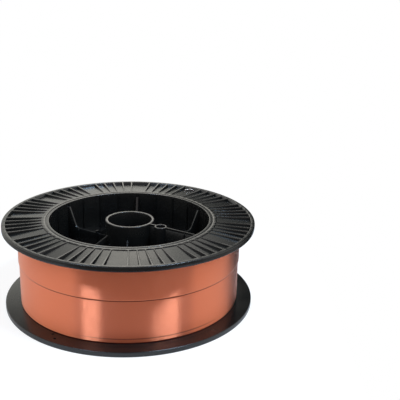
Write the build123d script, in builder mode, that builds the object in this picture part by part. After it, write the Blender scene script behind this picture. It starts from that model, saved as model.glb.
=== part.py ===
"""Spool of copper-coated welding wire, 300 mm across, lying flat on one flange.

Two alike black mouldings meet at mid width and carry the winding between their flanges. The frame is at
the bottom centre of the spool, Z up along its axis, in millimetres.
"""
import os
from math import cos, degrees, radians, sin, tan

from build123d import *

# Width of the spool and its flanges
spool_width = 103.0
flange_thickness = 6.0
rim_width = 4.5
rim_chamfer_width = 1.2

# Outwards from the axis: barrel, depth of wire on it, and the flange's height above the wire
barrel_bore_radius = 95.5
barrel_wall_thickness = 3.0
winding_clearance = 0.3
winding_depth = 33.2
flange_margin_height = 18.0

# Outer face of each flange: land round the mouth, then a pocket that slopes down to the rim, with ribs
land_width = 9.0
lip_chamfer_width = 0.8
pocket_depth = 3.2
rib_thickness = 1.9
rib_overlap_length = 1.0
rib_groups = 12
ribs_in_group = 5
rib_pitch_angle = 5.0

# Hub and drive hole
hub_bore_radius = 26.0
hub_wall_thickness = 3.4
hub_recess_depth = 2.5
drive_hole_radius = 5.25
drive_circle_radius = 44.5
drive_hole_angle = -30.0
drive_tube_wall_thickness = 2.2

# Webs between the hub and the barrel: five low ones with a gusset at each end, and that of the drive hole
web_count = 6
web_thickness = 3.0
web_recess_depth = 30.7
gusset_foot_width = 12.9
gusset_top_width = 2.3
gusset_recess_depth = 5.0
gusset_foot_radius = 7.0
hub_gusset_foot_width = 19.8
hub_gusset_height = 12.0
tongue_thickness = 1.6
tongue_height = 2.4

# Upright ribs on the webs: one near the hub that stands above the low edge, one near the barrel
inner_web_rib_distance = 20.6
outer_web_rib_distance = 18.0
web_rib_width = 1.6
web_rib_height = 1.8
inner_web_rib_rise_height = 3.2

# Small ribs down the inner wall of the barrel
wall_rib_count = 24
wall_rib_width = 1.4
wall_rib_height = 1.2
wall_rib_recess_depth = 1.6

# Step inside the barrel where the two mouldings meet
joint_groove_height = 2.4
joint_groove_depth = 1.4

# Two holes for the end of the wire, in one gap between the groups of ribs
wire_hole_radius = 1.6
outer_hole_distance = 3.5
inner_hole_distance = 2.9
outer_hole_angle = 1.0
inner_hole_angle = -2.5
wire_hole_gap_angle = 240.0

# Winding, whose last layer stops part way up, and the wire's own section
wire_diameter = 1.2
wire_sides = 8
last_layer_thickness = 0.9
last_layer_height = 56.2

# End of the wire: it climbs the winding, and hooks through the two holes of the upper flange
tail_start_angle = 9.0
tail_step_angle = 9.0
tail_steps = 5
tail_lead_height = 1.0
tail_entry_depth = 1.8
tail_hook_depth = 1.1
tail_end_depth = 3.0
bend_share_of_run = 0.45

# Worked out from the sizes above
half_width = spool_width / 2
wire_side = spool_width - flange_thickness
barrel_radius = barrel_bore_radius + barrel_wall_thickness
winding_bore_radius = barrel_radius + winding_clearance
winding_radius = winding_bore_radius + winding_depth
last_layer_radius = winding_radius + last_layer_thickness
flange_radius = winding_radius + flange_margin_height
pocket_start_radius = barrel_bore_radius + land_width
pocket_end_radius = flange_radius - rim_width
hub_radius = hub_bore_radius + hub_wall_thickness
web_start_radius = hub_bore_radius + hub_wall_thickness / 2
web_end_radius = barrel_bore_radius + barrel_wall_thickness / 2
outer_hole_circle_radius = pocket_end_radius - outer_hole_distance
inner_hole_circle_radius = last_layer_radius + inner_hole_distance


def radial_plane(angle):
    """Upright plane through the axis: its x runs outwards at the angle, its y runs up."""
    outwards = (cos(radians(angle)), sin(radians(angle)), 0)
    sideways = (sin(radians(angle)), -cos(radians(angle)), 0)
    return Plane(origin=(0, 0, 0), x_dir=outwards, z_dir=sideways)


def polar_point(radius, angle, height):
    """Point at a radius from the axis, an angle round it and a height."""
    return Vector(radius * cos(radians(angle)), radius * sin(radians(angle)), height)


def turned_over(angle):
    """Angle of a feature of the moulding once it is turned over about the line of its drive hole."""
    return (2 * drive_hole_angle - angle) % 360


low_web_angles = [drive_hole_angle + number * 360 / web_count for number in range(1, web_count)]
group_angle = 360 / rib_groups
first_rib_angle = (group_angle - (ribs_in_group - 1) * rib_pitch_angle) / 2
rib_half_angle = degrees(rib_thickness / (pocket_start_radius + pocket_end_radius))

# One moulding as it comes from the mould, outer face down at z = 0 and joint face up at mid width
with BuildPart() as moulding:
    # Flange and barrel, turned in one
    with BuildSketch(Plane.XZ):
        with BuildLine():
            Polyline(
                (barrel_bore_radius + lip_chamfer_width, 0),
                (flange_radius - rim_chamfer_width, 0),
                (flange_radius, rim_chamfer_width),
                (flange_radius, flange_thickness - rim_chamfer_width),
                (flange_radius - rim_chamfer_width, flange_thickness),
                (barrel_radius, flange_thickness),
                (barrel_radius, half_width),
                (barrel_bore_radius + joint_groove_depth, half_width),
                (barrel_bore_radius + joint_groove_depth, half_width - joint_groove_height / 2),
                (barrel_bore_radius, half_width - joint_groove_height / 2),
                (barrel_bore_radius, lip_chamfer_width),
                close=True,
            )
        make_face()
    revolve(axis=Axis.Z)

    # Pocket in the outer face, which deepens towards the rim
    with BuildSketch(Plane.XZ):
        with BuildLine():
            Polyline(
                (pocket_start_radius, 0),
                (pocket_end_radius, 0),
                (pocket_end_radius, pocket_depth),
                close=True,
            )
        make_face()
    revolve(axis=Axis.Z, mode=Mode.SUBTRACT)

    # Radial ribs, flush with the rim and the land, in groups with a wider gap between them
    inner_end = pocket_start_radius - rib_overlap_length
    outer_end = pocket_end_radius + rib_overlap_length
    with BuildSketch(Plane.XY):
        for group in range(rib_groups):
            for place in range(ribs_in_group):
                rib_angle = group * group_angle + first_rib_angle + place * rib_pitch_angle
                with BuildLine():
                    Polyline(
                        polar_point(inner_end, rib_angle - rib_half_angle, 0),
                        polar_point(outer_end, rib_angle - rib_half_angle, 0),
                        polar_point(outer_end, rib_angle + rib_half_angle, 0),
                        polar_point(inner_end, rib_angle + rib_half_angle, 0),
                        close=True,
                    )
                make_face()
    extrude(amount=pocket_depth)

    # Small ribs down the wall inside the barrel
    with BuildSketch(Plane.XY.offset(wall_rib_recess_depth)):
        with PolarLocations(barrel_bore_radius, wall_rib_count):
            Rectangle(2 * wall_rib_height, wall_rib_width)
    extrude(amount=half_width - joint_groove_height / 2 - wall_rib_recess_depth)

    # Webs: low between the hub and the barrel, rising in a gusset up the barrel wall
    for angle in low_web_angles:
        with BuildSketch(radial_plane(angle)):
            with BuildLine():
                upper_edge = FilletPolyline(
                    (web_start_radius, web_recess_depth),
                    (barrel_bore_radius - gusset_foot_width, web_recess_depth),
                    (barrel_bore_radius - gusset_top_width, gusset_recess_depth),
                    radius=gusset_foot_radius,
                )
                Polyline(
                    upper_edge @ 1,
                    (web_end_radius, gusset_recess_depth),
                    (web_end_radius, half_width),
                    (web_start_radius, half_width),
                    upper_edge @ 0,
                )
            make_face()
        extrude(amount=web_thickness / 2, both=True)

        # Thinner gusset on the web's edge, up the hub tube
        with BuildSketch(radial_plane(angle)):
            with BuildLine():
                Polyline(
                    (web_start_radius, web_recess_depth),
                    (hub_radius + hub_gusset_foot_width, web_recess_depth),
                    (hub_radius, web_recess_depth - hub_gusset_height),
                    (web_start_radius, web_recess_depth - hub_gusset_height),
                    close=True,
                )
            make_face()
        extrude(amount=tongue_thickness / 2, both=True)

    # Web of the drive hole from the hub to the barrel, with a thinner tongue up to the hub's full height
    shoulder_depth = hub_recess_depth + tongue_height
    for web_top, thickness in ((shoulder_depth, web_thickness), (hub_recess_depth, tongue_thickness)):
        with BuildSketch(radial_plane(drive_hole_angle)):
            with BuildLine():
                Polyline(
                    (web_start_radius, web_top),
                    (web_end_radius, web_top),
                    (web_end_radius, half_width),
                    (web_start_radius, half_width),
                    close=True,
                )
            make_face()
        extrude(amount=thickness / 2, both=True)

    # Upright ribs on the low webs near the hub, which stand above the web's edge
    inner_rib_top = web_recess_depth - inner_web_rib_rise_height
    with BuildSketch(Plane.XY.offset(inner_rib_top)):
        for angle in low_web_angles:
            with PolarLocations(hub_radius + inner_web_rib_distance, 1, start_angle=angle):
                Rectangle(web_rib_width, web_thickness + 2 * web_rib_height)
    extrude(amount=half_width - inner_rib_top)

    # Upright ribs near the barrel, up to the edge of each web
    for angle in [drive_hole_angle, *low_web_angles]:
        rib_top = shoulder_depth if angle == drive_hole_angle else web_recess_depth
        with BuildSketch(Plane.XY.offset(rib_top)):
            with PolarLocations(barrel_bore_radius - outer_web_rib_distance, 1, start_angle=angle):
                Rectangle(web_rib_width, web_thickness + 2 * web_rib_height)
        extrude(amount=half_width - rib_top)

    # Hub tube and drive-hole tube, with their holes right through
    with BuildSketch(Plane.XY.offset(hub_recess_depth)):
        Circle(hub_radius)
        with PolarLocations(drive_circle_radius, 1, start_angle=drive_hole_angle):
            Circle(drive_hole_radius + drive_tube_wall_thickness)
    extrude(amount=half_width - hub_recess_depth)
    with BuildSketch(Plane.XY):
        Circle(hub_bore_radius)
        with PolarLocations(drive_circle_radius, 1, start_angle=drive_hole_angle):
            Circle(drive_hole_radius)
        # Holes near the rim for the end of the wire
        with PolarLocations(outer_hole_circle_radius, 1, start_angle=wire_hole_gap_angle + outer_hole_angle):
            Circle(wire_hole_radius)
        with PolarLocations(inner_hole_circle_radius, 1, start_angle=wire_hole_gap_angle + inner_hole_angle):
            Circle(wire_hole_radius)
    extrude(amount=half_width, mode=Mode.SUBTRACT)

# The spool lies on one moulding
with BuildPart() as lower_spool_half:
    add(moulding.part)

# The other is the same moulding turned over about the line of its drive hole, set on the first
with BuildPart() as upper_spool_half:
    turning_line = Axis((0, 0, half_width), polar_point(1, drive_hole_angle, 0))
    add(moulding.part.rotate(turning_line, 180))

# Level-wound wire between the flanges; the last layer covers only the upper part
with BuildPart() as wire_winding:
    with BuildSketch(Plane.XZ):
        with BuildLine():
            Polyline(
                (winding_bore_radius, flange_thickness + winding_clearance),
                (winding_radius, flange_thickness + winding_clearance),
                (winding_radius, last_layer_height),
                (last_layer_radius, last_layer_height),
                (last_layer_radius, wire_side - winding_clearance),
                (winding_bore_radius, wire_side - winding_clearance),
                close=True,
            )
        make_face()
    revolve(axis=Axis.Z)

# End of the wire: straight runs joined by arcs, up the winding and through the two holes like a staple
climb_radius = (last_layer_radius + winding_clearance + wire_diameter / 2) / cos(radians(tail_step_angle / 2))
hook_angle = turned_over(wire_hole_gap_angle + inner_hole_angle)
return_angle = turned_over(wire_hole_gap_angle + outer_hole_angle)
entry_height = wire_side - tail_entry_depth
start_height = last_layer_height + tail_lead_height
hook_height = spool_width - tail_hook_depth
climb_per_degree = (entry_height - start_height) / (hook_angle - tail_start_angle)
route = []
for step in range(tail_steps + 1):
    turned = step * tail_step_angle
    risen = climb_per_degree * turned
    route.append(polar_point(climb_radius, tail_start_angle + turned, start_height + risen))
route.append(polar_point(inner_hole_circle_radius, hook_angle, entry_height))
route.append(polar_point(inner_hole_circle_radius, hook_angle, hook_height))
route.append(polar_point(outer_hole_circle_radius, return_angle, hook_height))
route.append(polar_point(outer_hole_circle_radius, return_angle, wire_side - tail_end_depth))
bends = []
for before, corner, after in zip(route, route[1:], route[2:]):
    turn = (corner - before).get_angle(after - corner)
    shorter_run = min((corner - before).length, (after - corner).length)
    bends.append(bend_share_of_run * shorter_run / tan(radians(turn / 2)))
print("bend radii of the wire end:", [round(bend, 1) for bend in bends])

with BuildPart() as wire_end:
    with BuildLine() as tail_path:
        FilletPolyline(*route, radius=bends)
    with BuildSketch(Plane(origin=tail_path.line @ 0, z_dir=tail_path.line % 0)):
        RegularPolygon(wire_diameter / 2, wire_sides)
    sweep(path=tail_path.line)

lower_spool_half.part.label = "lower_spool_half"
upper_spool_half.part.label = "upper_spool_half"
wire_winding.part.label = "wire_winding"
wire_end.part.label = "wire_end"

os.makedirs("parts", exist_ok=True)
for piece in (lower_spool_half, upper_spool_half, wire_winding, wire_end):
    export_step(piece.part, f"parts/{piece.part.label}.step")
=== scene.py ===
"""Welding wire spool, 300 mm: two black mouldings and a winding of copper-coated wire.

The spool lies on one flange. Sizes in the text are millimetres and MM turns them to metres.
"""
from math import atan2, cos, degrees, hypot, pi, radians, sin

import bmesh
import bpy
from mathutils import Matrix, Vector


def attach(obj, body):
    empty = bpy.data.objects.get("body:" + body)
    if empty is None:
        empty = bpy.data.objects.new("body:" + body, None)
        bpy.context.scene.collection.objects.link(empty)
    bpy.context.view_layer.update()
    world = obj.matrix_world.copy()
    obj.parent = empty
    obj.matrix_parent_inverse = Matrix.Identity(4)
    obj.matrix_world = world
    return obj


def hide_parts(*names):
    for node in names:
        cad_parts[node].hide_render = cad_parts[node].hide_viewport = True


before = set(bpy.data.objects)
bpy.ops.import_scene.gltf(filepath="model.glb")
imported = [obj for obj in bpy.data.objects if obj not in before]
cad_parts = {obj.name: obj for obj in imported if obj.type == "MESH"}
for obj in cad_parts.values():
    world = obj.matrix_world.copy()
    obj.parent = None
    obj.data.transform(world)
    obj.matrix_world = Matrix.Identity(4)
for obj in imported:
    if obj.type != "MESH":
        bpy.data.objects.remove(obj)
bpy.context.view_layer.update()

MM = 0.001


# Camera: a 63 mm lens, 0.86 m from the middle of the spool, looking down 18 degrees and
# turned by one and a half degrees, as the photograph was taken.
VIEW_DROP = radians(18.16)
VIEW_ROLL = radians(1.56)
VIEW_DISTANCE = 858.5 * MM
VIEW_PAN_RIGHT = 85.6 * MM
VIEW_PAN_UP = 69.4 * MM
VIEW_LENS = 62.98
AIM_HEIGHT = 51.5 * MM

away = Vector((0, -cos(VIEW_DROP), sin(VIEW_DROP)))
level_right = Vector((1, 0, 0))
level_up = Vector((0, sin(VIEW_DROP), cos(VIEW_DROP)))
rolled_right = level_right * cos(VIEW_ROLL) + level_up * sin(VIEW_ROLL)
rolled_up = level_up * cos(VIEW_ROLL) - level_right * sin(VIEW_ROLL)
bpy.ops.object.camera_add()
camera = bpy.context.object
camera.name = "view_camera"
turn = Matrix((rolled_right, rolled_up, away)).transposed().to_4x4()
aim = Vector((0, 0, AIM_HEIGHT))
stand = aim + away * VIEW_DISTANCE + rolled_right * VIEW_PAN_RIGHT + rolled_up * VIEW_PAN_UP
camera.matrix_world = Matrix.Translation(stand) @ turn
camera.data.sensor_width = 36
camera.data.lens = VIEW_LENS
camera.data.clip_start = 0.01
camera.data.clip_end = 200
bpy.context.scene.camera = camera
bpy.context.scene.view_settings.view_transform = "Standard"


# Spool half: one injection moulding in black polystyrene. A flange with sixty ribs in its outer
# face, half of the barrel, six webs, half of the hub tube and half of the tube for the drive pin.
# It is drawn with its outer face at z = 0 and the joint with its twin at z = 51.5.
HALF_WIDTH = 51.5
FLANGE_RADIUS = 150.0
FLANGE_THICKNESS = 6.0
RIM_ROUND = 1.0
BARREL_BORE = 95.5
BARREL_RADIUS = 98.5
POCKET_START = 104.5
POCKET_END = 145.5
POCKET_STEP = 0.7
POCKET_SLOPE = 1.3
POCKET_DEPTH = 3.2
POCKET_ROUND = 0.42
RIB_PITCH = 5.0
RIB_HALF_ANGLE = 0.436
HUB_BORE = 26.0
HUB_RADIUS = 29.4
HUB_RECESS = 2.5
DRIVE_ANGLE = -30.0
DRIVE_CIRCLE = 44.5
DRIVE_BORE = 5.25
DRIVE_TUBE = 7.45
WEB_THICKNESS = 3.0
WEB_RECESS = 30.7
TONGUE_THICKNESS = 1.6
SHOULDER_RECESS = 4.9
SMALL_ROUND = 0.25


def select_only(obj):
    """Makes one object the active one and the only one selected."""
    bpy.ops.object.select_all(action="DESELECT")
    obj.select_set(True)
    bpy.context.view_layer.objects.active = obj


def start_editing(obj):
    """Opens one object in edit mode with nothing selected."""
    select_only(obj)
    bpy.ops.object.mode_set(mode="EDIT")
    bpy.ops.mesh.select_all(action="DESELECT")


def stop_editing():
    bpy.ops.object.mode_set(mode="OBJECT")


def pick(obj, kind, wanted):
    """In edit mode, selects the vertices, edges or faces that the test wants, and nothing else."""
    mode = {"verts": "VERT", "edges": "EDGE", "faces": "FACE"}[kind]
    bpy.ops.mesh.select_mode(type=mode)
    bpy.ops.mesh.select_all(action="DESELECT")
    mesh = bmesh.from_edit_mesh(obj.data)
    for element in getattr(mesh, kind):
        element.select = wanted(element)
    mesh.select_flush_mode()
    bmesh.update_edit_mesh(obj.data)


def draw_outline(name, points):
    """An outline in the XZ plane, extruded from one point from corner to corner, and filled."""
    place = [Vector((x, 0, z)) * MM for x, z in points]
    bpy.ops.object.select_all(action="DESELECT")
    bpy.ops.mesh.primitive_plane_add(size=0.001, location=(0, 0, 0))
    obj = bpy.context.object
    obj.name = name
    bpy.ops.object.mode_set(mode="EDIT")
    bpy.ops.mesh.select_mode(type="VERT")
    bpy.ops.mesh.select_all(action="SELECT")
    bpy.ops.mesh.merge(type="CENTER")
    bpy.ops.transform.translate(value=place[0])
    for before, after in zip(place, place[1:]):
        bpy.ops.mesh.extrude_region_move(TRANSFORM_OT_translate={"value": after - before})
    bpy.ops.mesh.select_all(action="SELECT")
    bpy.ops.mesh.edge_face_add()
    return obj


def round_corners(obj, corners, radius, segments):
    """In edit mode, rounds the corners of an outline that lie at the given places."""
    places = [Vector((x, 0, z)) * MM for x, z in corners]
    pick(obj, "verts", lambda v: any((v.co - p).length < 0.02 * MM for p in places))
    bpy.ops.mesh.bevel(offset=radius * MM, segments=segments, affect="VERTICES", clamp_overlap=True)


def spin_full(steps):
    """In edit mode, turns all of an outline once round the axis and closes the seam."""
    bpy.ops.mesh.select_all(action="SELECT")
    bpy.ops.mesh.delete(type="ONLY_FACE")
    bpy.ops.mesh.select_all(action="SELECT")
    bpy.ops.mesh.spin(steps=steps, angle=2 * pi, center=(0, 0, 0), axis=(0, 0, 1))
    tidy_shell()


def tidy_shell():
    """In edit mode, merges what lies on the same spot and turns every face outwards."""
    bpy.ops.mesh.select_all(action="SELECT")
    bpy.ops.mesh.remove_doubles(threshold=0.004 * MM)
    bpy.ops.mesh.select_all(action="SELECT")
    bpy.ops.mesh.normals_make_consistent(inside=False)


def radius_of(point):
    return hypot(point.x, point.y) / MM


def angle_of(point):
    return degrees(atan2(point.y, point.x))


# Flange and barrel: their section, turned through one twelfth in steps that fall on the sides of
# the five ribs there, and then copied round
WEDGES = 12
WEDGE_ANGLE = 30.0
LAND_HALF_ANGLE = 3.0
BEAD_END = 98.9
GROOVE_END = 100.1
GROOVE_DEPTH = 0.5
MOUTH_ROUND = 0.9
JOINT_STEP = 1.4
JOINT_STEP_HEIGHT = 1.2
section = [
    (BARREL_BORE, 0),
    (BEAD_END, 0),
    (BEAD_END, GROOVE_DEPTH),
    (GROOVE_END, GROOVE_DEPTH),
    (GROOVE_END, 0),
    (POCKET_START, 0),
    (POCKET_END, 0),
    (FLANGE_RADIUS, 0),
    (FLANGE_RADIUS, FLANGE_THICKNESS),
    (BARREL_RADIUS, FLANGE_THICKNESS),
    (BARREL_RADIUS, HALF_WIDTH),
    (BARREL_BORE + JOINT_STEP, HALF_WIDTH),
    (BARREL_BORE + JOINT_STEP, HALF_WIDTH - JOINT_STEP_HEIGHT),
    (BARREL_BORE, HALF_WIDTH - JOINT_STEP_HEIGHT),
]
lower = draw_outline("lower_spool_moulding", section)
round_corners(lower, [(FLANGE_RADIUS, 0), (FLANGE_RADIUS, FLANGE_THICKNESS)], RIM_ROUND, 4)
round_corners(lower, [(BARREL_BORE, 0), (BEAD_END, 0)], MOUTH_ROUND, 4)
round_corners(lower, [(GROOVE_END, 0), (BARREL_RADIUS, HALF_WIDTH)], SMALL_ROUND, 2)
bpy.ops.mesh.select_all(action="SELECT")
bpy.ops.mesh.delete(type="ONLY_FACE")
bpy.ops.mesh.select_all(action="SELECT")
end_angle = RIB_PITCH - RIB_HALF_ANGLE
between_angle = RIB_PITCH - 2 * RIB_HALF_ANGLE
turns = [(end_angle, 3), (2 * RIB_HALF_ANGLE, 1)]
turns += [(between_angle, 3), (2 * RIB_HALF_ANGLE, 1)] * 4
turns += [(end_angle, 3)]
for angle, steps in turns:
    bpy.ops.mesh.spin(steps=steps, angle=radians(angle), center=(0, 0, 0), axis=(0, 0, -1))


def in_pocket(face):
    """True for a face of the outer side that lies between two ribs."""
    centre = face.calc_center_median()
    if centre.z > 0.01 * MM or not POCKET_START < radius_of(centre) < POCKET_END:
        return False
    angle = angle_of(centre)
    from_rib = (angle + RIB_PITCH / 2) % RIB_PITCH - RIB_PITCH / 2
    in_ribs = LAND_HALF_ANGLE < angle < WEDGE_ANGLE - LAND_HALF_ANGLE
    return abs(from_rib) > RIB_HALF_ANGLE or not in_ribs


def in_wedge_side(face):
    """True for a wall that the extrusion left in one of the two planes that end the wedge."""
    radius = radius_of(face.calc_center_median())
    if abs(face.normal.z) >= 0.1 or not POCKET_START - 1 < radius < POCKET_END + 1:
        return False
    return all(
        min(abs(angle_of(v.co)), abs(angle_of(v.co) - WEDGE_ANGLE)) < 0.001 for v in face.verts)


pick(lower, "faces", in_pocket)
bpy.ops.mesh.extrude_region_move(TRANSFORM_OT_translate={"value": (0, 0, POCKET_STEP * MM)})
pick(lower, "verts", lambda v: abs(v.co.z - POCKET_STEP * MM) < 0.001 * MM
     and radius_of(v.co) > POCKET_END - 0.1)
bpy.ops.transform.translate(value=(0, 0, (POCKET_DEPTH - POCKET_STEP) * MM))
inward = 1 - POCKET_SLOPE / POCKET_END
bpy.ops.transform.resize(value=(inward, inward, 1), center_override=(0, 0, 0))
pick(lower, "faces", in_wedge_side)
bpy.ops.mesh.delete(type="FACE")


def pocket_rim(edge):
    """True for the upper edges of the ribs, the land and the rim round a pocket."""
    if any(abs(v.co.z) > 0.001 * MM for v in edge.verts) or len(edge.link_faces) != 2:
        return False
    return any(abs(f.normal.z) < 0.5 for f in edge.link_faces) and all(
        POCKET_START - 0.1 < radius_of(v.co) < POCKET_END + 0.1 for v in edge.verts)


bpy.ops.mesh.select_all(action="SELECT")
bpy.ops.mesh.normals_make_consistent(inside=False)
pick(lower, "edges", pocket_rim)
bpy.ops.mesh.bevel(offset=POCKET_ROUND * MM, segments=2, affect="EDGES", clamp_overlap=False)
bpy.ops.mesh.select_mode(type="VERT")
bpy.ops.mesh.select_all(action="SELECT")
bpy.ops.mesh.spin(
    steps=WEDGES - 1, dupli=True, angle=radians(WEDGE_ANGLE * (WEDGES - 1)),
    center=(0, 0, 0), axis=(0, 0, -1))
tidy_shell()
stop_editing()


def fuse(obj, others, operation="UNION"):
    """Fuses the other closed shells with a piece, or cuts them from it, and removes them."""
    group = bpy.data.collections.new("fused")
    bpy.context.scene.collection.children.link(group)
    for other in others:
        for holder in list(other.users_collection):
            holder.objects.unlink(other)
        group.objects.link(other)
    cut = obj.modifiers.new("fuse", "BOOLEAN")
    cut.operation = operation
    cut.operand_type = "COLLECTION"
    cut.collection = group
    cut.solver = "EXACT"
    cut.use_self = operation == "UNION"
    select_only(obj)
    bpy.ops.object.modifier_apply(modifier=cut.name)
    for other in others:
        bpy.data.objects.remove(other)
    bpy.data.collections.remove(group)
    start_editing(obj)
    tidy_shell()
    bpy.ops.mesh.select_all(action="SELECT")
    bpy.ops.mesh.dissolve_degenerate(threshold=0.004 * MM)
    stop_editing()


# Two holes near the rim, for the end of the wire
WIRE_HOLE_RADIUS = 1.6
holes = []
for radius, angle in ((142.0, 241.0), (135.8, 237.5)):
    bpy.ops.object.select_all(action="DESELECT")
    bpy.ops.mesh.primitive_cylinder_add(
        vertices=24, radius=WIRE_HOLE_RADIUS * MM, depth=20 * MM,
        location=(radius * cos(radians(angle)) * MM, radius * sin(radians(angle)) * MM, 0))
    bpy.ops.object.transform_apply(location=True, rotation=True, scale=True)
    holes.append(bpy.context.object)
fuse(lower, holes, "DIFFERENCE")

# What stands inside the barrel is drawn piece by piece and then fused with it
inner_pieces = []

# Hub tube and the tube of the drive hole
TUBE_ROUND = 0.6
drive_centre = Vector((
    DRIVE_CIRCLE * cos(radians(DRIVE_ANGLE)), DRIVE_CIRCLE * sin(radians(DRIVE_ANGLE)), 0)) * MM
for name, bore, outside, centre, steps in (
    ("hub_tube", HUB_BORE, HUB_RADIUS, Vector((0, 0, 0)), 96),
    ("drive_tube", DRIVE_BORE, DRIVE_TUBE, drive_centre, 40),
):
    corners = [(bore, HUB_RECESS), (outside, HUB_RECESS), (outside, HALF_WIDTH), (bore, HALF_WIDTH)]
    tube = draw_outline(name, corners)
    round_corners(tube, corners[:2], TUBE_ROUND, 3)
    round_corners(tube, corners[2:], SMALL_ROUND, 1)
    spin_full(steps)
    bpy.ops.mesh.select_all(action="SELECT")
    bpy.ops.transform.translate(value=centre)
    stop_editing()
    inner_pieces.append(tube)


def thicken(obj, thickness, edge_round):
    """In edit mode, thickens an outline both ways from its plane and eases its edges."""
    bpy.ops.mesh.select_all(action="SELECT")
    bpy.ops.transform.translate(value=(0, -thickness / 2 * MM, 0))
    bpy.ops.mesh.extrude_region_move(TRANSFORM_OT_translate={"value": (0, thickness * MM, 0)})
    tidy_shell()
    pick(obj, "edges", lambda e: len(e.link_faces) == 2 and e.calc_face_angle(0) > radians(50)
         and abs(e.verts[0].co.y - e.verts[1].co.y) < 0.01 * MM)
    bpy.ops.mesh.bevel(offset=edge_round * MM, segments=2, affect="EDGES")


def turn_copies(obj, angles):
    """Puts copies of a piece, each with its own mesh, at several angles round the axis."""
    copies = []
    for angle in angles:
        select_only(obj)
        bpy.ops.object.duplicate()
        twin = bpy.context.object
        twin.rotation_euler = (0, 0, radians(angle))
        bpy.ops.object.transform_apply(location=True, rotation=True, scale=True)
        copies.append(twin)
    bpy.data.objects.remove(obj)
    return copies


# Five low webs, with a rounded foot and a gusset up the barrel, and a thin gusset up the hub
LOW_WEB_ANGLES = [30, 90, 150, 210, 270]
WEB_START = 27.8
WEB_END = 97.0
GUSSET_FOOT = 82.6
GUSSET_TOP = 93.2
GUSSET_RECESS = 5.0
FOOT_ROUND = 4.6
WEB_ROUND = 0.8
HUB_GUSSET_FOOT = 49.2
HUB_GUSSET_TOP = 18.7
web = draw_outline("low_web", [
    (WEB_START, WEB_RECESS), (GUSSET_FOOT, WEB_RECESS), (GUSSET_TOP, GUSSET_RECESS),
    (WEB_END, GUSSET_RECESS), (WEB_END, HALF_WIDTH), (WEB_START, HALF_WIDTH)])
round_corners(web, [(GUSSET_FOOT, WEB_RECESS)], FOOT_ROUND, 8)
thicken(web, WEB_THICKNESS, WEB_ROUND)
stop_editing()
inner_pieces += turn_copies(web, LOW_WEB_ANGLES)
gusset = draw_outline("hub_gusset", [
    (WEB_START, WEB_RECESS + 2), (HUB_GUSSET_FOOT, WEB_RECESS + 2), (HUB_GUSSET_FOOT, WEB_RECESS),
    (HUB_RADIUS, HUB_GUSSET_TOP), (WEB_START, HUB_GUSSET_TOP)])
thicken(gusset, TONGUE_THICKNESS, SMALL_ROUND)
stop_editing()
inner_pieces += turn_copies(gusset, LOW_WEB_ANGLES)

# Web of the drive hole: one part from hub to tube and one from tube to barrel, each of full
# height, with a thinner tongue along its top
TUBE_SIDE_IN = 38.4
TUBE_SIDE_OUT = 50.6
for name, start, end in (
    ("drive_web_inner", WEB_START, TUBE_SIDE_IN),
    ("drive_web_outer", TUBE_SIDE_OUT, WEB_END),
):
    for part, top, bottom, thickness in (
        ("wall", SHOULDER_RECESS, HALF_WIDTH, WEB_THICKNESS),
        ("tongue", HUB_RECESS, SHOULDER_RECESS + 2, TONGUE_THICKNESS),
    ):
        wall = draw_outline(f"{name}_{part}", [
            (start, top), (end, top), (end, bottom), (start, bottom)])
        thicken(wall, thickness, SMALL_ROUND)
        stop_editing()
        inner_pieces += turn_copies(wall, [DRIVE_ANGLE])

# Upright ribs across the webs, one near the hub that stands above the web, one near the barrel
RIB_WIDTH = 1.6
RIB_SPAN = 6.6
RIB_RISE = 3.2
RIB_ROUND = 0.3
RIB_NEAR_HUB = 50.0
RIB_NEAR_BARREL = 77.5
for name, radius, top, angles in (
    ("inner_web_rib", RIB_NEAR_HUB, WEB_RECESS - RIB_RISE, LOW_WEB_ANGLES),
    ("outer_web_rib", RIB_NEAR_BARREL, WEB_RECESS, LOW_WEB_ANGLES),
    ("drive_web_rib", RIB_NEAR_BARREL, SHOULDER_RECESS, [DRIVE_ANGLE]),
):
    rib = draw_outline(name, [
        (radius - RIB_WIDTH / 2, top), (radius + RIB_WIDTH / 2, top),
        (radius + RIB_WIDTH / 2, HALF_WIDTH), (radius - RIB_WIDTH / 2, HALF_WIDTH)])
    thicken(rib, RIB_SPAN, RIB_ROUND)
    stop_editing()
    inner_pieces += turn_copies(rib, angles)

# Small ribs down the wall of the barrel, every fifteen degrees
WALL_RIBS = 24
WALL_RIB_TOP = 1.6
WALL_RIB_HEIGHT = 1.2
WALL_RIB_WIDTH = 1.4
WALL_RIB_ROUND = 0.35
wall_rib_end = HALF_WIDTH - JOINT_STEP_HEIGHT
wall_rib = draw_outline("wall_rib", [
    (BARREL_BORE - WALL_RIB_HEIGHT, WALL_RIB_TOP), (BARREL_BORE + 1, WALL_RIB_TOP),
    (BARREL_BORE + 1, wall_rib_end), (BARREL_BORE - WALL_RIB_HEIGHT, wall_rib_end)])
thicken(wall_rib, WALL_RIB_WIDTH, WALL_RIB_ROUND)
stop_editing()
inner_pieces += turn_copies(wall_rib, [360 / WALL_RIBS * n for n in range(WALL_RIBS)])

fuse(lower, inner_pieces)
select_only(lower)
bpy.ops.object.shade_smooth_by_angle(angle=radians(32))


def linear(code):
    """Colour for a shader from its sRGB hex value."""
    values = [int(code[i:i + 2], 16) / 255 for i in (1, 3, 5)]
    light = [v / 12.92 if v <= 0.04045 else ((v + 0.055) / 1.055) ** 2.4 for v in values]
    return (*light, 1.0)


def add_node(tree, kind, settings=None, links=None):
    """Adds a node: settings are its own properties, links its inputs as values or sockets."""
    node = tree.nodes.new(kind)
    for key, value in (settings or {}).items():
        setattr(node, key, value)
    for key, value in (links or {}).items():
        socket = node.inputs[key]
        if isinstance(value, bpy.types.NodeSocket):
            tree.links.new(value, socket)
        else:
            socket.default_value = value
    return node


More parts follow.
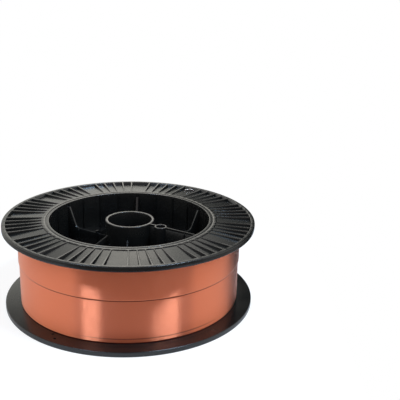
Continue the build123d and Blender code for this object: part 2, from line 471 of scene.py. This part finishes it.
# Black polystyrene from a spark-eroded mould: satin, with a grain that breaks up the reflections,
# drawn coarser than the real one so that it shows, and wide faint flow marks in black and gloss.
plastic = bpy.data.materials.new("black_moulded_polystyrene")
plastic.use_nodes = True
tree = plastic.node_tree
tree.nodes.clear()
place = add_node(tree, "ShaderNodeTexCoord").outputs["Object"]
PER_MM = 1000.0
GRAIN_SIZE = 0.9
FLOW_MARK_SIZE = 28.0
grain = add_node(tree, "ShaderNodeTexNoise", links={
    "Vector": place, "Scale": PER_MM / GRAIN_SIZE, "Detail": 3.0, "Roughness": 0.6})
flow = add_node(tree, "ShaderNodeTexNoise", links={
    "Vector": place, "Scale": PER_MM / FLOW_MARK_SIZE, "Detail": 4.0, "Roughness": 0.55})
tone = add_node(tree, "ShaderNodeValToRGB", links={"Fac": flow.outputs["Fac"]})
tone.color_ramp.elements[0].position = 0.35
tone.color_ramp.elements[0].color = linear("#101010")
tone.color_ramp.elements[1].position = 0.7
tone.color_ramp.elements[1].color = linear("#181816")
gloss = add_node(tree, "ShaderNodeMapRange", links={
    "Value": flow.outputs["Fac"], "From Min": 0.3, "From Max": 0.7,
    "To Min": 0.22, "To Max": 0.28})
bump = add_node(tree, "ShaderNodeBump", links={
    "Height": grain.outputs["Fac"], "Strength": 0.10, "Distance": 0.1 * MM})
skin = add_node(tree, "ShaderNodeBsdfPrincipled", links={
    "Base Color": tone.outputs["Color"], "Roughness": gloss.outputs["Result"], "IOR": 1.59,
    "Normal": bump.outputs["Normal"]})
add_node(tree, "ShaderNodeOutputMaterial", links={"Surface": skin.outputs["BSDF"]})
lower.data.materials.clear()
lower.data.materials.append(plastic)

# The other half is the same moulding turned over about the line of its drive hole
bpy.ops.object.duplicate()
upper = bpy.context.object
upper.name = "upper_spool_moulding"
fold = Vector((cos(radians(DRIVE_ANGLE)), sin(radians(DRIVE_ANGLE)), 0))
middle = Matrix.Translation((0, 0, HALF_WIDTH * MM))
upper.matrix_world = middle @ Matrix.Rotation(pi, 4, fold) @ middle.inverted()
bpy.ops.object.transform_apply(location=True, rotation=True, scale=True)

for half, node in ((lower, "lower_spool_half"), (upper, "upper_spool_half")):
    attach(half, "root")
    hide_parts(node)


# Winding: copper-coated steel wire of 1.2 mm, laid turn against turn. The last layer stops part
# way down and shows as a step; the turns below it are those of the layer beneath.
WIRE_RADIUS = 0.6
WINDING_BORE = 98.8
WINDING_BOTTOM = 6.3
WINDING_TOP = 96.7
LAYER_END = 56.2
UNDER_LAYER_RADIUS = 132.0
LAST_LAYER_RADIUS = 132.9
SEAM_HALF = 0.4
SEAM_DEPTH = 1.6
STEPS_PER_TURN = 180
SHOWN_ANGLES = (-62, -38, -13, 13, 38, 62)


def wound_turns(name, outer_radius, bottom, top):
    """Turns of wire side by side: what shows of the wire's section, swept up a helix."""
    turns = round((top - bottom) / (2 * WIRE_RADIUS))
    pitch = (top - bottom) / (turns + 1)
    coil = draw_outline(name, [
        (outer_radius - WIRE_RADIUS + WIRE_RADIUS * cos(radians(angle)),
         bottom + pitch / 2 + WIRE_RADIUS * sin(radians(angle))) for angle in SHOWN_ANGLES])
    bpy.ops.mesh.select_all(action="SELECT")
    bpy.ops.mesh.delete(type="ONLY_FACE")
    stop_editing()
    screw = coil.modifiers.new("wind", "SCREW")
    screw.axis = "Z"
    screw.angle = 2 * pi
    screw.screw_offset = pitch * MM
    screw.iterations = turns
    screw.steps = STEPS_PER_TURN
    screw.render_steps = STEPS_PER_TURN
    bpy.ops.object.modifier_apply(modifier=screw.name)
    start_editing(coil)
    tidy_shell()
    pick(coil, "edges", lambda e: len(e.link_faces) == 1)
    bpy.ops.mesh.edge_face_add()
    tidy_shell()
    stop_editing()
    return coil


seam_bottom = LAYER_END - SEAM_HALF
seam_top = LAYER_END + SEAM_HALF
under_layer = wound_turns("under_layer", UNDER_LAYER_RADIUS, WINDING_BOTTOM, seam_bottom)
last_layer = wound_turns("last_layer", LAST_LAYER_RADIUS, seam_top, WINDING_TOP)
under_side = UNDER_LAYER_RADIUS - WIRE_RADIUS / 2
last_side = LAST_LAYER_RADIUS - WIRE_RADIUS / 2
core = draw_outline("winding_core", [
    (WINDING_BORE, WINDING_BOTTOM), (under_side, WINDING_BOTTOM), (under_side, seam_bottom),
    (under_side - SEAM_DEPTH, seam_bottom), (under_side - SEAM_DEPTH, seam_top),
    (last_side, seam_top), (last_side, WINDING_TOP), (WINDING_BORE, WINDING_TOP)])
spin_full(STEPS_PER_TURN)
stop_editing()
bpy.ops.object.select_all(action="DESELECT")
for layer in (under_layer, last_layer, core):
    layer.select_set(True)
bpy.context.view_layer.objects.active = core
bpy.ops.object.join()
winding = bpy.context.object
winding.name = "wire_turns"
bpy.ops.object.shade_smooth_by_angle(angle=radians(50))

# Copper coat on drawn steel wire: bright, with marks of the drawing die along it, which spread its
# highlights across the wire, under a thin film of oil.
copper = bpy.data.materials.new("copper_coated_steel_wire")
copper.use_nodes = True
tree = copper.node_tree
tree.nodes.clear()
place = add_node(tree, "ShaderNodeTexCoord").outputs["Object"]
split = add_node(tree, "ShaderNodeSeparateXYZ", links={"Vector": place})
bearing = add_node(tree, "ShaderNodeMath", {"operation": "ARCTAN2"}, {
    0: split.outputs["Y"], 1: split.outputs["X"]})

# Painted shade in the gaps where the layer ends, where the turns meet the lower flange, and for a
# short way at the front a
# little above it: a mask of 1 at the gap that fades to 0 round it
SHORT_GAP_HEIGHT = 11.4
SHORT_GAP_BEARING = -72
gap_shade_masks = []
for gap_height, half, fade in (
    (LAYER_END, SEAM_HALF + 0.1, 0.3),
    (WINDING_BOTTOM - 0.5, 0.9, 0.5),
    (SHORT_GAP_HEIGHT, 0.45, 0.5),
):
    off = add_node(tree, "ShaderNodeMath", {"operation": "SUBTRACT"}, {
        0: split.outputs["Z"], 1: gap_height * MM})
    distance = add_node(tree, "ShaderNodeMath", {"operation": "ABSOLUTE"}, {
        0: off.outputs["Value"]})
    mask = add_node(tree, "ShaderNodeMapRange", links={
        "Value": distance.outputs["Value"], "From Min": half * MM,
        "From Max": (half + fade) * MM, "To Min": 1.0, "To Max": 0.0})
    gap_shade_masks.append(mask.outputs["Result"])
layer_gap_shade, flange_gap_shade, low_gap_shade = gap_shade_masks
from_front = add_node(tree, "ShaderNodeMath", {"operation": "SUBTRACT"}, {
    0: bearing.outputs["Value"], 1: radians(SHORT_GAP_BEARING)})
off_front = add_node(tree, "ShaderNodeMath", {"operation": "ABSOLUTE"}, {
    0: from_front.outputs["Value"]})
short = add_node(tree, "ShaderNodeMapRange", links={
    "Value": off_front.outputs["Value"], "From Min": radians(20), "From Max": radians(40),
    "To Min": 0.6, "To Max": 0.0})
short_gap_shade = add_node(tree, "ShaderNodeMath", {"operation": "MULTIPLY"}, {
    0: low_gap_shade, 1: short.outputs["Result"]})
two_gap_shades = add_node(tree, "ShaderNodeMath", {"operation": "MAXIMUM"}, {
    0: layer_gap_shade, 1: flange_gap_shade})
painted_gap_shade = add_node(tree, "ShaderNodeMath", {"operation": "MAXIMUM"}, {
    0: two_gap_shades.outputs["Value"], 1: short_gap_shade.outputs["Value"]})
# The copper colour, turned to a painted dark brown shade where the gap mask is 1
coat = add_node(tree, "ShaderNodeMix", {"data_type": "RGBA"}, {
    0: painted_gap_shade.outputs["Value"], 6: linear("#f08860"), 7: linear("#7a2c16")})
round_axis = add_node(tree, "ShaderNodeTangent", {"direction_type": "RADIAL", "axis": "Z"})
metal = add_node(tree, "ShaderNodeBsdfPrincipled", links={
    "Base Color": coat.outputs[2], "Metallic": 1.0, "Roughness": 0.28,
    "Anisotropic": 1.0, "Anisotropic Rotation": 0.25, "Tangent": round_axis.outputs["Tangent"],
    "Coat Weight": 0.6, "Coat Roughness": 0.4})
add_node(tree, "ShaderNodeOutputMaterial", links={"Surface": metal.outputs["BSDF"]})
winding.data.materials.clear()
winding.data.materials.append(copper)
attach(winding, "root")
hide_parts("wire_winding")


# End of the wire: the last turn leaves the step of the winding, climbs over the last layer and
# hooks out through one hole of the upper flange and back in through the other.
TAIL = [
    (132.3, -8.0, 56.8), (132.5, -2.0, 56.9), (133.3, 4.0, 57.0), (134.0, 9.0, 57.4),
    (134.1, 18.0, 63.6), (134.1, 27.0, 70.0), (134.1, 36.0, 76.4), (134.2, 45.0, 82.8),
    (134.4, 54.0, 89.2), (135.4, 60.5, 93.6), (135.8, 62.4, 95.6), (135.8, 62.5, 98.5),
    (135.8, 62.5, 101.2), (136.6, 62.0, 101.9), (139.0, 60.8, 101.9), (141.2, 59.4, 101.9),
    (142.0, 59.0, 101.2), (142.0, 59.0, 98.5), (142.0, 59.0, 94.0)]
bpy.ops.object.select_all(action="DESELECT")
bpy.ops.curve.primitive_nurbs_path_add()
tail = bpy.context.object
tail.name = "wire_tail"
spline = tail.data.splines[0]
spline.points.add(len(TAIL) - len(spline.points))
for point, (radius, angle, height) in zip(spline.points, TAIL):
    x, y = radius * cos(radians(angle)), radius * sin(radians(angle))
    point.co = (x * MM, y * MM, height * MM, 1)
spline.order_u = 3
spline.use_endpoint_u = True
spline.resolution_u = 10
tail.data.bevel_depth = WIRE_RADIUS * MM
tail.data.bevel_resolution = 3
tail.data.use_fill_caps = True
bpy.ops.object.convert(target="MESH")
bpy.ops.object.shade_smooth()

# The same copper coat, rubbed through to bright steel where the wire hooks over the flange
bare_end = copper.copy()
bare_end.name = "copper_rubbed_to_steel_wire_end"
tree = bare_end.node_tree
finish = next(node for node in tree.nodes if node.type == "BSDF_PRINCIPLED")
finish.inputs["Anisotropic"].default_value = 0.0
place = add_node(tree, "ShaderNodeTexCoord").outputs["Object"]
split = add_node(tree, "ShaderNodeSeparateXYZ", links={"Vector": place})
rubbed = add_node(tree, "ShaderNodeMapRange", links={
    "Value": split.outputs["Z"], "From Min": 99.5 * MM, "From Max": 101.0 * MM,
    "To Min": 0.0, "To Max": 1.0})
copper_colour = finish.inputs["Base Color"].links[0].from_socket
worn = add_node(tree, "ShaderNodeMix", {"data_type": "RGBA"}, {
    0: rubbed.outputs["Result"], 6: copper_colour, 7: linear("#f2e6dc")})
tree.links.new(worn.outputs[2], finish.inputs["Base Color"])
tail.data.materials.clear()
tail.data.materials.append(bare_end)
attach(tail, "root")
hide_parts("wire_end")


# Floor: a sheet of plain white paper, 0.5 m wide, that the spool lies on. It is shown a little
# brighter than it lights the spool, so that it is as white as the room and keeps the shadow.
FLOOR_SIZE = 500.0
bpy.ops.object.select_all(action="DESELECT")
bpy.ops.mesh.primitive_plane_add(size=FLOOR_SIZE * MM, location=(0, 0, 0))
floor = bpy.context.object
floor.name = "paper_floor"
paper = bpy.data.materials.new("white_paper")
paper.use_nodes = True
tree = paper.node_tree
tree.nodes.clear()
ray = add_node(tree, "ShaderNodeLightPath")
lit = add_node(tree, "ShaderNodeBsdfDiffuse", links={"Color": linear("#d6d6d6")})
faint = add_node(tree, "ShaderNodeBsdfDiffuse", links={"Color": linear("#8c8c8c")})
glow = add_node(tree, "ShaderNodeEmission", links={"Color": (1, 1, 1, 1), "Strength": 0.82})
seen = add_node(tree, "ShaderNodeAddShader", links={
    0: faint.outputs["BSDF"], 1: glow.outputs["Emission"]})
sharp = add_node(tree, "ShaderNodeMath", {"operation": "MAXIMUM"}, {
    0: ray.outputs["Is Glossy Ray"], 1: ray.outputs["Is Transmission Ray"]})
part_seen = add_node(tree, "ShaderNodeMath", {"operation": "MULTIPLY"}, {
    0: sharp.outputs["Value"], 1: 0.4})
direct = add_node(tree, "ShaderNodeMath", {"operation": "MAXIMUM"}, {
    0: ray.outputs["Is Camera Ray"], 1: part_seen.outputs["Value"]})
shown = add_node(tree, "ShaderNodeMixShader", links={
    0: direct.outputs["Value"], 1: lit.outputs["BSDF"], 2: seen.outputs["Shader"]})
add_node(tree, "ShaderNodeOutputMaterial", links={"Surface": shown.outputs["Shader"]})
floor.data.materials.append(paper)


# Light: white walls, grey behind the camera, dark in the far right corner and dimmer high up at
# the far left, a dim ceiling, two cool softboxes high up in front, and a soft window at the back.
world = bpy.data.worlds.new("white_studio")
bpy.context.scene.world = world
world.use_nodes = True
tree = world.node_tree
tree.nodes.clear()
CAMERA_BEARING = 281
heading = add_node(tree, "ShaderNodeTexCoord").outputs["Generated"]
rise = add_node(tree, "ShaderNodeSeparateXYZ", links={"Vector": heading}).outputs["Z"]
level = add_node(tree, "ShaderNodeVectorMath", {"operation": "MULTIPLY"}, {
    0: heading, 1: (1, 1, 0)})
compass = add_node(tree, "ShaderNodeVectorMath", {"operation": "NORMALIZE"}, {
    0: level.outputs["Vector"]})
parts = add_node(tree, "ShaderNodeSeparateXYZ", links={"Vector": compass.outputs["Vector"]})
to_camera = add_node(tree, "ShaderNodeVectorMath", {"operation": "DOT_PRODUCT"}, {
    0: compass.outputs["Vector"],
    1: (cos(radians(CAMERA_BEARING)), sin(radians(CAMERA_BEARING)), 0)})

# The walls' colour from the far side round to the camera's, and their shade from below to above
shades = []
for value, steps in (
    (to_camera.outputs["Value"], (
        (0.0, "#fcfbf2"), (0.05, "#fcfbf2"), (0.15, "#fdfcf8"),
        (0.72, "#fdfcf8"), (0.80, "#a89b96"), (1.0, "#a69994"))),
    (rise, (
        (0.0, "#909090"), (0.42, "#a8a8a8"), (0.5, "#ffffff"),
        (0.79, "#ffffff"), (0.84, "#c0c0c0"), (1.0, "#b0b0b0"))),
):
    part_way = add_node(tree, "ShaderNodeMapRange", links={
        "Value": value, "From Min": -1.0, "From Max": 1.0, "To Min": 0.0, "To Max": 1.0})
    ramp = add_node(tree, "ShaderNodeValToRGB", links={"Fac": part_way.outputs["Result"]})
    ends = ramp.color_ramp.elements
    ends[0].position, ends[0].color = steps[0][0], linear(steps[0][1])
    ends[1].position, ends[1].color = steps[-1][0], linear(steps[-1][1])
    for position, code in steps[1:-1]:
        ends.new(position).color = linear(code)
    shades.append(ramp.outputs["Color"])
room = add_node(tree, "ShaderNodeMix", {"data_type": "RGBA", "blend_type": "MULTIPLY"}, {
    0: 1.0, 6: shades[0], 7: shades[1]})

# Soft edges of the dark places, from one value to the other between two places on an axis
edges = {}
for name, axis, low_end, high_end, before, after in (
    ("far", parts.outputs["Y"], 0.32, 0.75, 0.0, 1.0),
    ("right", parts.outputs["X"], -0.05, -0.01, 0.0, 1.0),
    ("low", rise, 0.33, 0.40, 1.0, 0.0),
    ("far_right", parts.outputs["X"], 0.04, 0.12, 0.0, 1.0),
    ("middle", rise, 0.58, 0.74, 1.0, 0.0),
    ("left", parts.outputs["X"], -0.28, -0.20, 1.0, 0.0),
    ("above", rise, 0.39, 0.45, 0.0, 1.0),
):
    edges[name] = add_node(tree, "ShaderNodeMapRange", {"interpolation_type": "SMOOTHSTEP"}, {
        "Value": axis, "From Min": low_end, "From Max": high_end,
        "To Min": before, "To Max": after}).outputs["Result"]
low_corner = add_node(tree, "ShaderNodeMath", {"operation": "MULTIPLY"}, {
    0: edges["right"], 1: edges["low"]})
high_corner = add_node(tree, "ShaderNodeMath", {"operation": "MULTIPLY"}, {
    0: edges["far_right"], 1: edges["middle"]})
corner = add_node(tree, "ShaderNodeMath", {"operation": "MAXIMUM"}, {
    0: low_corner.outputs["Value"], 1: high_corner.outputs["Value"]})
left_top = add_node(tree, "ShaderNodeMath", {"operation": "MULTIPLY"}, {
    0: edges["left"], 1: edges["above"]})
shown = room.outputs[2]
for dark_place, code in ((corner, "#1c1c1a"), (left_top, "#8c8c88")):
    share = add_node(tree, "ShaderNodeMath", {"operation": "MULTIPLY"}, {
        0: dark_place.outputs["Value"], 1: edges["far"]})
    shown = add_node(tree, "ShaderNodeMix", {"data_type": "RGBA"}, {
        0: share.outputs["Value"], 6: shown, 7: linear(code)}).outputs[2]
ray = add_node(tree, "ShaderNodeLightPath")
seen = add_node(tree, "ShaderNodeMix", {"data_type": "RGBA"}, {
    0: ray.outputs["Is Camera Ray"], 6: shown, 7: (1, 1, 1, 1)})
sky = add_node(tree, "ShaderNodeBackground", links={"Color": seen.outputs[2], "Strength": 1.0})
add_node(tree, "ShaderNodeOutputWorld", links={"Surface": sky.outputs["Background"]})

# Each lamp's bearing and height above the spool's middle in degrees, the bearing that its width
# lies square to, its roll, its width and height in metres, its watts and its colour
LAMP_DISTANCE = 3.0
for name, azimuth, elevation, faces, roll, width, height, power, colour in (
    ("softbox_left", 224.8, 53.0, 257.7, 8, 0.66, 0.40, 27.0, "#c4e2ff"),
    ("softbox_right", 332.0, 62.3, 292.3, -12, 0.92, 0.40, 72.0, "#c4e2ff"),
    ("window_behind", 96.5, 27.0, 96.5, 0, 0.44, 1.10, 2.0, "#fff8ec"),
):
    around, up = radians(azimuth), radians(elevation)
    spot = Vector((cos(around) * cos(up), sin(around) * cos(up), sin(up)))
    side = Vector((-sin(radians(faces)), cos(radians(faces)), 0))
    side = (side - side.dot(spot) * spot).normalized()
    side = Matrix.Rotation(radians(roll), 3, spot) @ side
    bpy.ops.object.light_add(type="AREA")
    lamp = bpy.context.object
    lamp.name = name
    axes = Matrix((side, spot.cross(side), spot)).transposed().to_4x4()
    lamp.matrix_world = Matrix.Translation(spot * LAMP_DISTANCE + aim) @ axes
    lamp.data.shape = "RECTANGLE"
    lamp.data.size = width
    lamp.data.size_y = height
    lamp.data.energy = power
    lamp.data.color = linear(colour)[:3]
